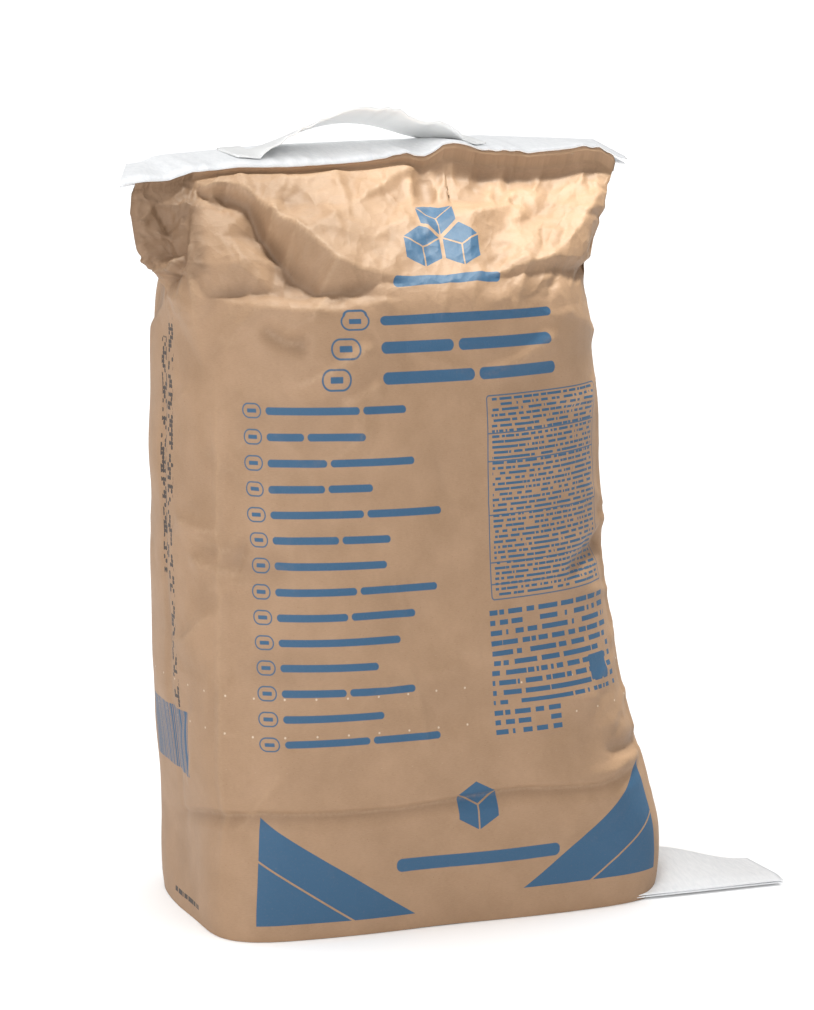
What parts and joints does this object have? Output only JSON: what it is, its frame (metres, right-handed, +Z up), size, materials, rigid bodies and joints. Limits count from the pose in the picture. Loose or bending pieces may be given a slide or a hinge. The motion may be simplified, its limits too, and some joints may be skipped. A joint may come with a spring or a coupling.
{
  "type": "bag of sugar",
  "caption": "Filled kraft paper sack with side gussets, both ends folded over and taped in white, a paper carrying strap along the top and its lower seam folded under with one end sticking out.",
  "frame": {"origin": "on the floor under the middle of the filled body", "axes": "+Z up, +X along the sack's width to the end where the lower seam sticks out, -Y to the printed front"},
  "size_m": [0.3365, 0.1742, 0.4073],
  "materials": {
    "kraft_paper": "matte",
    "crepe_tape": "matte",
    "paper_strap": "satin"
  },
  "bodies": {
    "root": {"sack": "kraft_paper", "top_tape": "crepe_tape", "handle": "paper_strap", "bottom_tape": "crepe_tape"}
  },
  "joints": []
}
